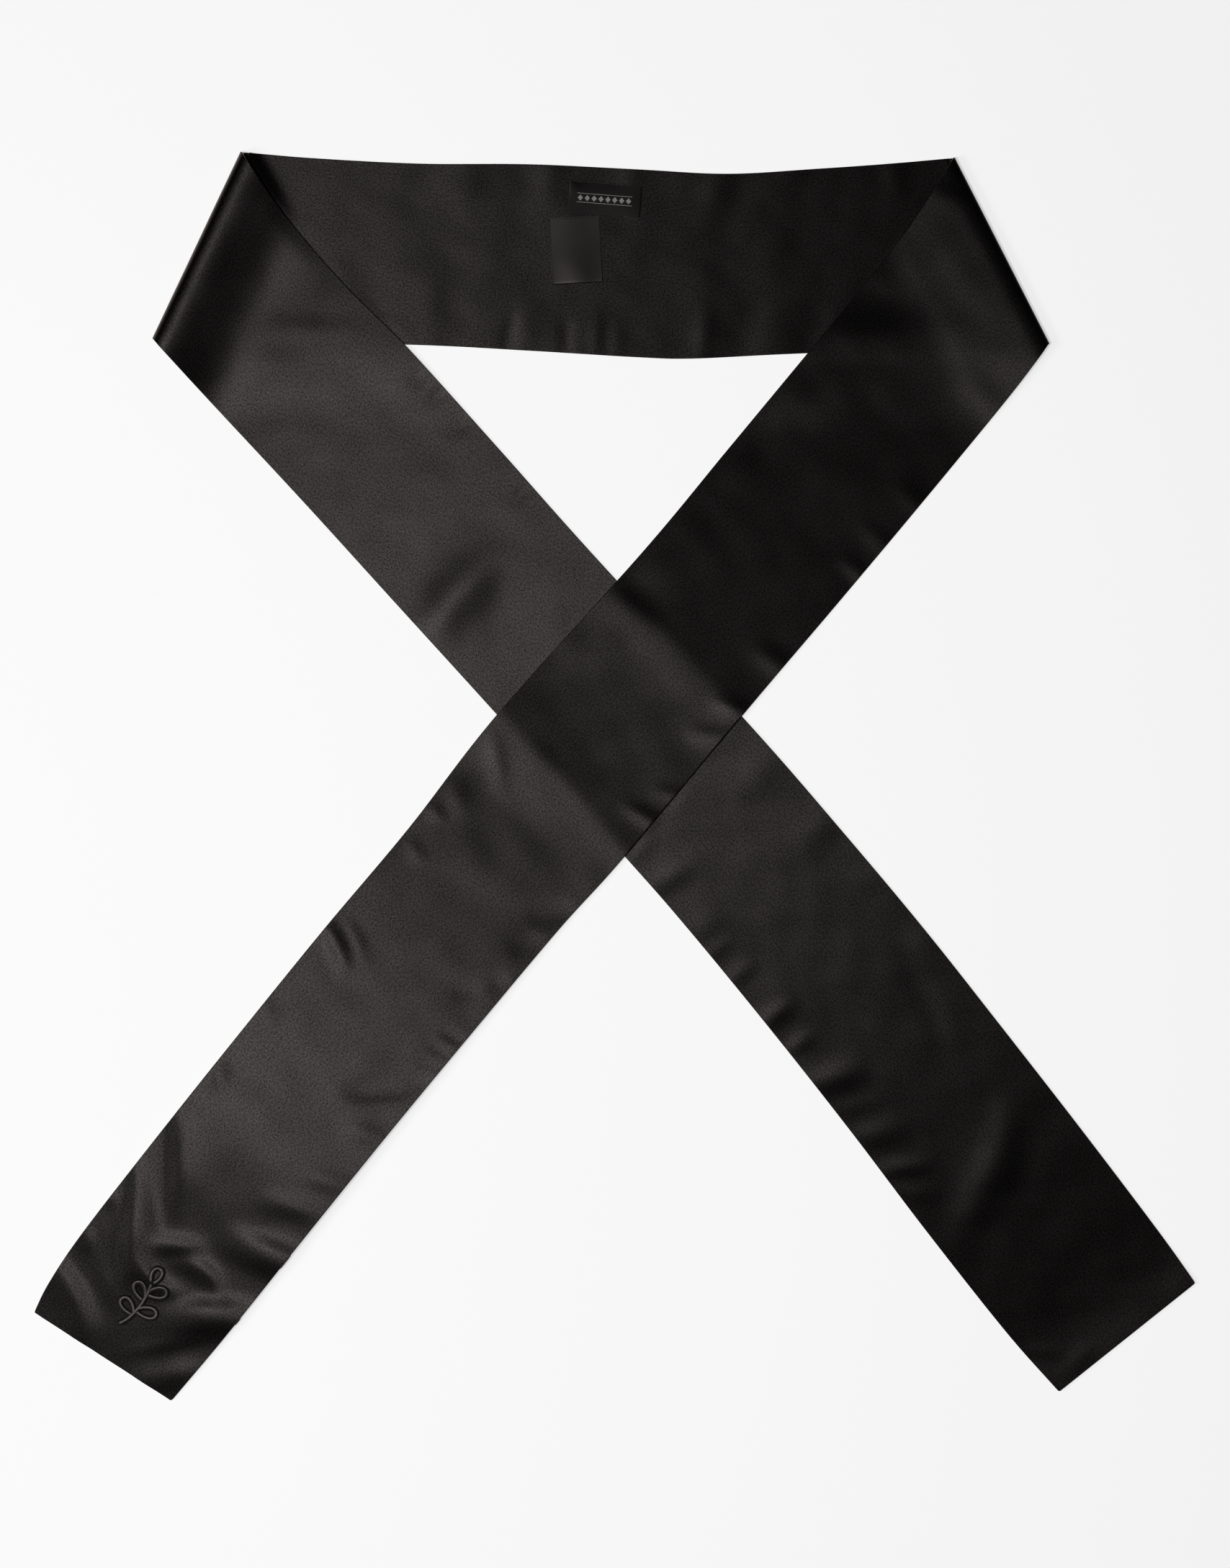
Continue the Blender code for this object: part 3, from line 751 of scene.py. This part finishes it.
def setThreads(mesh, facing):
    turn, away = math.radians(facing), threads["centreDistance"]
    mesh.use_auto_texspace = False
    mesh.texspace_location = (away * math.cos(turn), away * math.sin(turn), 0.0)
    mesh.texspace_size = (1.0, 1.0, 1.0)


# A smooth mesh of points in millimetres, and the point that each corner of its faces has
def newMesh(name, points, faces):
    mesh = bpy.data.meshes.new(name)
    mesh.from_pydata((points.reshape(-1, 3) * mm).tolist(), [], faces)
    mesh.shade_smooth()
    corners = np.zeros(len(mesh.loops), int)
    mesh.loops.foreach_get("vertex_index", corners)
    return mesh, corners


# Cloth coordinates, in millimetres, for each corner of its faces
def setCloth(mesh, u, v):
    cloth = mesh.uv_layers.new(name="cloth")
    cloth.data.foreach_set("uv", np.column_stack([u, v]).reshape(-1) * mm)


# A mesh through the sections, with its cloth coordinates; the sewn end is closed ply to ply
def loftTube(name, sections, closedEnd, threadFacing, flip=False):
    points = np.array([section for section, across in sections])
    acrossAll = np.array([across for section, across in sections])
    rows, size = points.shape[:2]
    upper = tube["innerColumns"] + 2 * len(tube["edgeTurns"]) + 2  # 2 of them are support columns
    lowerCount = (upper + 1) // 2
    steps = np.linalg.norm(np.diff(points.mean(axis=1), axis=0), axis=1)
    alongAll = np.concatenate([[0.0], np.cumsum(steps)])
    index = np.arange(rows * size).reshape(rows, size)
    nextColumn = np.roll(index, -1, axis=1)
    quads = np.stack([index[:-1], nextColumn[:-1], nextColumn[1:], index[1:]], -1)
    faces = quads.reshape(-1, 4).tolist()
    if closedEnd:
        last = (rows - 1) * size
        for cell in range(lowerCount - 1):
            below = size - 2 - cell
            faces.append([last + i for i in (2 * cell + 2, 2 * cell + 1, 2 * cell,
                                             below, below - 1)])
        faces.append([last + i for i in (upper, upper - 1, upper + 1)])
        faces.append([last + i for i in (0, size - 1, size - 2)])
    if flip:
        faces = [face[::-1] for face in faces]
    mesh, corners = newMesh(name, points, faces)
    along = np.repeat(alongAll, size)[corners]
    across = acrossAll.reshape(-1)[corners]
    wraps = np.zeros((rows - 1, size, 4), bool)  # the fold edge joins the last column to the first
    wraps[:, -1, 1:3] = True
    wraps = np.flatnonzero(wraps)
    across[wraps] += np.repeat(acrossAll[:, -1], size)[corners[wraps]]
    setCloth(mesh, along, across)
    setThreads(mesh, threadFacing)
    return mesh


# A sheet in place of its solid; an offset of -1 lays its thickness inwards, from the faces that
# show, and one of 0 on both sides
def sheetPiece(name, mesh, thickness, offset, material, node):
    piece = addObject(name, mesh)
    wall = piece.modifiers.new("wall", "SOLIDIFY")
    wall.thickness = thickness * mm
    wall.offset = offset
    bpy.context.view_layer.objects.active = piece
    bpy.ops.object.modifier_apply(modifier=wall.name)
    piece.data.set_sharp_from_angle(angle=math.radians(tube["sharpAngle"]))
    piece.data.materials.append(material)
    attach(piece, "root")
    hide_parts(node)
    print(name, len(piece.data.polygons), "faces")


def clothPiece(name, mesh, node):
    sheetPiece(name, mesh, tube["shell"], -1.0, black, node)


# Heights of the cloth's top
def neckTop(plan):
    return neckUnderside(plan) + tube["thickness"] + neckRelief(plan)


def rightTop(plan):
    return rightUnderside(plan) + tube["thickness"] + rightRelief(plan)


# Satin ribbon with fine crosswise ribs; marks is a function that gives the share of pale thread
ribbon = dict(grainSize=0.4, roughnessSpread=0.1)


def ribbonFinish(name, settings, marks=None):
    finish = Finish(name)
    weave = noise(finish, settings["ribLength"], settings["ribWidth"])
    grain = noise(finish, ribbon["grainSize"], ribbon["grainSize"])
    colour = finish.mixColour(grain, settings["colour"], settings["paleColour"])
    if marks:
        colour = finish.mixColour(marks(finish), colour, settings["markColour"])
    finish.set(**{
        "Base Color": colour,
        "Roughness": unevenRoughness(weave, settings["roughness"], ribbon["roughnessSpread"]),
        "Anisotropic": settings["anisotropy"],
        "Specular IOR Level": settings["specular"],
        "Specular Tint": satin["tint"],
        "Normal": bump(finish, weave * settings["ribDepth"] + grain * settings["ribDepth"]),
    })
    return finish.material


sewnLabel = dict(
    centre=(-5.0, 284.5), turn=-4.5, length=36.0, width=15.0, turnedEnd=5.0, ply=0.22,
    plyGap=0.34, bulge=0.25, cornerLift=0.7, cornerReach=5.0, rest=0.16,
    colour=(0.004, 0.0037, 0.0037, 1.0), paleColour=(0.008, 0.0074, 0.0074, 1.0),
    markColour=(0.42, 0.41, 0.39, 1.0), roughness=0.42, anisotropy=0.3, specular=0.15,
    ribLength=1.6, ribWidth=0.22, ribDepth=0.02,
    markPitch=3.4, markSlimness=2.6, markHeight=1.5, markLine=2.2, lineHalfWidth=0.12,
    markMargin=4.4,
    flapSteps=8, foldSteps=9, topSteps=38, widthSteps=24,
)


# Pale lozenges in a row along the label's middle, between two hair lines: a point is in a lozenge
# where |place in its cell| * slimness + |offset| / height is below 1
def labelMarks(finish):
    cloth = finish.node("UVMap", dict(uv_map="cloth"))
    u, v = (finish.node("SeparateXYZ", None, {0: cloth}, axis) * (1.0 / mm) for axis in (0, 1))
    cell = u.math("FRACT", u * (1.0 / sewnLabel["markPitch"]), 0.0) - 0.5
    offset = u.math("ABSOLUTE", v, 0.0)
    lozenge = u.math("LESS_THAN", u.math("ABSOLUTE", cell, 0.0) * sewnLabel["markSlimness"]
                     + offset * (1.0 / sewnLabel["markHeight"]), 1.0)
    fromLine = u.math("ABSOLUTE", offset - sewnLabel["markLine"], 0.0)
    line = u.math("LESS_THAN", fromLine, sewnLabel["lineHalfWidth"])
    inside = u.math("LESS_THAN", u.math("ABSOLUTE", u, 0.0),
                    sewnLabel["length"] / 2 - sewnLabel["markMargin"])
    return u.math("MAXIMUM", lozenge, line) * inside


# Where a label's own u and v lie, seen from above
def labelPlan(label, u, v):
    turn = math.radians(label["turn"])
    x = label["centre"][0] + u * math.cos(turn) - v * math.sin(turn)
    y = label["centre"][1] + u * math.sin(turn) + v * math.cos(turn)
    return np.stack([x, y], -1)


# A ribbon: a flat profile (place along it, height above the cloth) carried across its width,
# lying on the cloth under it
def ribbonMesh(name, label, profile, widthRows, lift, alongU):
    path = np.array(profile)
    lengths = np.concatenate([[0.0], np.cumsum(np.hypot(*np.diff(path, axis=0).T))])
    place, side = np.meshgrid(path[:, 0], widthRows, indexing="ij")
    u, v = (place, side) if alongU else (side, place)
    plan = labelPlan(label, u, v)
    height = neckTop(plan) + path[:, 1][:, None] + lift(u, v)
    points = np.concatenate([plan, height[..., None]], -1)
    rows, size = place.shape
    index = np.arange(rows * size).reshape(rows, size)
    quads = np.stack([index[:-1, :-1], index[1:, :-1], index[1:, 1:], index[:-1, 1:]], -1)
    if not alongU:
        quads = quads[..., ::-1]
    mesh, corners = newMesh(name, points, quads.reshape(-1, 4).tolist())
    along = np.repeat(lengths - lengths.max() / 2, size)
    setCloth(mesh, along[corners], np.tile(widthRows, rows)[corners])
    setThreads(mesh, label["turn"])
    return mesh


def ribbonPiece(name, label, mesh, material, node):
    sheetPiece(name, mesh, label["ply"], 0.0, material, node)


# Both short ends turned under, the upper left corner standing up a little
def sewnLabelMesh():
    reach, gap = sewnLabel["length"] / 2, sewnLabel["plyGap"]
    turns = np.radians(np.linspace(-90.0, 90.0, sewnLabel["foldSteps"]))
    under = np.linspace(reach - sewnLabel["turnedEnd"], reach - gap / 2,
                        sewnLabel["flapSteps"], endpoint=False)
    fold = np.column_stack([reach - gap / 2 + gap / 2 * np.cos(turns),
                            gap / 2 + gap / 2 * np.sin(turns)])
    flap = np.vstack([np.column_stack([under, np.zeros(len(under))]), fold])
    top = np.linspace(-reach + gap / 2, reach - gap / 2, sewnLabel["topSteps"] + 2)[1:-1]
    profile = np.vstack([flap * (-1.0, 1.0), np.column_stack([top, np.full(len(top), gap)]),
                         flap[::-1]])
    widthRows = np.linspace(-sewnLabel["width"] / 2, sewnLabel["width"] / 2,
                            sewnLabel["widthSteps"])

    def lift(u, v):
        corner = np.hypot(u + reach, v - sewnLabel["width"] / 2)
        middle = (1.0 - (u / reach) ** 2).clip(0.0) * (1.0 - (2.0 * v / sewnLabel["width"]) ** 2)
        return (sewnLabel["rest"] + sewnLabel["bulge"] * middle
                + sewnLabel["cornerLift"] * np.exp(-(corner / sewnLabel["cornerReach"]) ** 2))

    return ribbonMesh("sewnLabel", sewnLabel, profile, widthRows, lift, True)


careLabel = dict(
    centre=(-18.9, 259.5), turn=3.0, length=32.8, width=24.0, ply=0.2, plyGap=0.3, loop=0.9,
    foldLift=0.7, wave=0.15, rest=0.16,
    colour=(0.004, 0.0037, 0.0037, 1.0), paleColour=(0.007, 0.0066, 0.0066, 1.0),
    roughness=0.36, anisotropy=0.5, specular=0.4, ribLength=0.22, ribWidth=2.0, ribDepth=0.012,
    foldSteps=13, lengthSteps=26, widthSteps=28,
)


# A ribbon folded in two: sewn at its top end, its fold lifting at the lower end
def careLabelMesh():
    reach = careLabel["length"] / 2
    radius = careLabel["loop"] / 2
    turns = np.radians(np.linspace(-90.0, 90.0, careLabel["foldSteps"]))
    down = np.linspace(reach, -reach + radius, careLabel["lengthSteps"])
    share = smoothStep((reach - down) / careLabel["length"])
    gap = careLabel["plyGap"] + (careLabel["loop"] - careLabel["plyGap"]) * share
    lower = np.column_stack([down, np.zeros(len(down))])
    fold = np.column_stack([-reach + radius - radius * np.cos(turns),
                            radius + radius * np.sin(turns)])
    upper = np.column_stack([down, gap])[::-1]
    profile = np.vstack([lower[:-1], fold, upper[1:]])
    widthRows = np.linspace(-careLabel["width"] / 2, careLabel["width"] / 2,
                            careLabel["widthSteps"])

    def lift(u, v):
        free = smoothStep((reach - v) / careLabel["length"])
        wave = careLabel["wave"] * np.cos(2.0 * math.pi * u / careLabel["width"])
        return careLabel["rest"] + (careLabel["foldLift"] + wave) * free ** 2

    return ribbonMesh("careLabel", careLabel, profile, widthRows, lift, False)


# Cords of satin stitch: a low half-round ridge along each path, with a slanting thread ridge
# every pitch: radius times 1 + depth * |sin(pi * (along / pitch + lean * cos angle))|. Both ends
# taper over a share of the width. The underside is one line, and underAngle places it on the
# cloth coordinates, past the ridge's half turn.
stitch = dict(ridgeSteps=11, taperShare=0.6, tip=0.02, underAngle=4.0, fewestRows=8,
              strandWidth=0.18, strandLength=2.0, strandDepth=0.05, roughnessSpread=0.12)


def stitchMesh(name, paths, settings, top):
    vertices, faces, cloth, total = [], [], [], 0
    angles = np.radians(np.linspace(0.0, 180.0, stitch["ridgeSteps"]))
    for path in paths:
        line = np.array(path, float)
        lengths = np.concatenate([[0.0], np.cumsum(np.hypot(*np.diff(line, axis=0).T))])
        count = max(int(lengths[-1] / settings["step"]), stitch["fewestRows"])
        along = np.linspace(0.0, lengths[-1], count)
        line = np.column_stack([np.interp(along, lengths, line[:, i]) for i in (0, 1)])
        tangent = np.gradient(line, axis=0)
        tangent /= np.linalg.norm(tangent, axis=1, keepdims=True)
        sideways = np.column_stack([-tangent[:, 1], tangent[:, 0]])
        ends = np.minimum(along, lengths[-1] - along) / (settings["width"] * stitch["taperShare"])
        taper = np.sqrt(1.0 - (1.0 - np.clip(ends, stitch["tip"], 1.0)) ** 2)
        thread = np.abs(np.sin(math.pi * (along[:, None] / settings["pitch"]
                                          + settings["lean"] * np.cos(angles))))
        radius = taper[:, None] * (1.0 + settings["depth"] * thread)
        across = settings["width"] / 2 * radius * np.cos(angles)
        plan = line[:, None, :] + across[..., None] * sideways[:, None, :]
        height = top(plan) + settings["height"] * radius * np.sin(angles) - settings["sink"]
        points = np.concatenate([plan, height[..., None]], -1)
        under = points[:, [0, -1]].mean(axis=1, keepdims=True) - (0.0, 0.0, settings["sink"])
        points = np.concatenate([points, under], axis=1)
        rows, size = points.shape[:2]
        index = np.arange(rows * size).reshape(rows, size) + total
        nextColumn = np.roll(index, -1, axis=1)
        quads = np.stack([index[:-1], index[1:], nextColumn[1:], nextColumn[:-1]], -1)
        faces += quads.reshape(-1, 4).tolist() + [index[0].tolist(), index[-1][::-1].tolist()]
        vertices.append(points.reshape(-1, 3))
        around = np.append(angles, stitch["underAngle"]) * settings["width"] / math.pi
        cloth.append(np.column_stack([np.repeat(along, size), np.tile(around, rows)]))
        total += rows * size
    mesh, corners = newMesh(name, np.vstack(vertices), faces)
    setCloth(mesh, *np.vstack(cloth)[corners].T)
    return mesh


def threadFinish(name, settings):
    finish = Finish(name)
    strands = noise(finish, stitch["strandWidth"], stitch["strandLength"])
    finish.set(**{
        "Base Color": finish.mixColour(strands, settings["colour"], settings["paleColour"]),
        "Roughness": strands * stitch["roughnessSpread"] + settings["roughness"],
        "Specular IOR Level": settings["specular"],
        "Specular Tint": satin["tint"],
        "Normal": bump(finish, strands * stitch["strandDepth"]),
    })
    return finish.material


def stitchPiece(name, mesh, material):
    piece = addObject(name, mesh)
    piece.data.materials.append(material)
    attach(piece, "root")
    print(name, len(piece.data.polygons), "faces")


# A plain leafy sprig in black satin stitch near the end of the right stretch
sprig = dict(
    centre=(-234.0, -258.0), turn=12.0, width=2.7, height=1.0, pitch=0.42, lean=0.9, depth=0.16,
    step=0.14, sink=0.08, colour=(0.006, 0.0055, 0.0055, 1.0),
    paleColour=(0.014, 0.013, 0.013, 1.0), roughness=0.33, specular=0.9,
    stem=[(-13.0, -9.5), (-7.0, -7.5), (-1.0, -3.5), (4.0, 1.5), (8.0, 7.0)],
    # foot x, y, direction, length, width of each leaf
    leaves=[(8.0, 7.0, 48.0, 8.0, 4.6), (2.2, -0.5, 100.0, 9.5, 5.0),
            (-4.5, -6.2, 112.0, 9.5, 5.0), (4.6, 2.2, -8.0, 9.5, 5.0),
            (-2.6, -4.6, -24.0, 10.0, 5.0)],
    leafSteps=60,
)


# Leaf outline: along = length * (1 - cos t) / 2, across = width / 2 * sin t * (1 - cos t / 3)
def sprigPaths():
    turn = math.radians(sprig["turn"])
    rotate = np.array([[math.cos(turn), math.sin(turn)], [-math.sin(turn), math.cos(turn)]])
    paths = [Edge(sprig["stem"]).points]
    t = np.linspace(0.0, 2.0 * math.pi, sprig["leafSteps"])
    for x, y, direction, length, width in sprig["leaves"]:
        lean = math.radians(direction)
        along = length * (1.0 - np.cos(t)) / 2
        across = width / 2 * np.sin(t) * (1.0 - np.cos(t) / 3)
        paths.append(np.column_stack([x + along * math.cos(lean) - across * math.sin(lean),
                                      y + along * math.sin(lean) + across * math.cos(lean)]))
    return [path @ rotate + sprig["centre"] for path in paths]


# Short stitches that hold the labels: at both ends of the sewn one, and across the other's top
tacks = dict(
    width=0.32, height=0.2, pitch=0.2, lean=0.4, depth=0.1, step=0.08, sink=0.03,
    colour=(0.006, 0.0055, 0.0055, 1.0), paleColour=(0.02, 0.019, 0.019, 1.0),
    roughness=0.35, specular=0.4, length=1.3, spacing=2.2, inset=0.7, endReach=6.2, topReach=10.5,
)


def tackPaths():
    paths = []
    for side in (-1.0, 1.0):
        u = side * (sewnLabel["length"] / 2 - tacks["inset"])
        for v in np.arange(-tacks["endReach"], tacks["endReach"], tacks["spacing"]):
            ends = np.array([[u, v - tacks["length"] / 2], [u, v + tacks["length"] / 2]])
            paths.append(labelPlan(sewnLabel, ends[:, 0], ends[:, 1]))
    v = careLabel["length"] / 2 - tacks["inset"]
    for u in np.arange(-tacks["topReach"], tacks["topReach"], tacks["spacing"]):
        ends = np.array([[u - tacks["length"] / 2, v], [u + tacks["length"] / 2, v]])
        paths.append(labelPlan(careLabel, ends[:, 0], ends[:, 1]))
    return paths


def labelTop(plan):
    return neckTop(plan) + sewnLabel["rest"] + sewnLabel["plyGap"] + sewnLabel["ply"] / 2


makeStudio()
makeCamera()
print("camera and lights are up")

black = satinFinish("black satin")
neckMesh = loftTube("neckCloth", neckSections(), False, threads["neck"])
leftMesh = loftTube("leftCloth", hangingSections(
    left, leftCorner, leftUnderside, leftRoll, leftRelief), True, threads["left"])
rightMesh = loftTube("rightCloth", hangingSections(
    right, rightCorner, rightUnderside, rightRoll, rightRelief), True, threads["right"], True)
clothPiece("neck_cloth", neckMesh, "neck_stretch")
clothPiece("left_cloth", leftMesh, "left_stretch")
clothPiece("right_cloth", rightMesh, "right_stretch")

ribbonPiece("sewn_label", sewnLabel, sewnLabelMesh(),
            ribbonFinish("woven label", sewnLabel, labelMarks), "neck_label")
ribbonPiece("care_ribbon", careLabel, careLabelMesh(), ribbonFinish("care ribbon", careLabel),
            "care_label")
stitchPiece("label_stitches", stitchMesh("labelStitches", tackPaths(), tacks, labelTop),
            threadFinish("label thread", tacks))
stitchPiece("sprig_embroidery", stitchMesh("sprigEmbroidery", sprigPaths(), sprig, rightTop),
            threadFinish("embroidery thread", sprig))
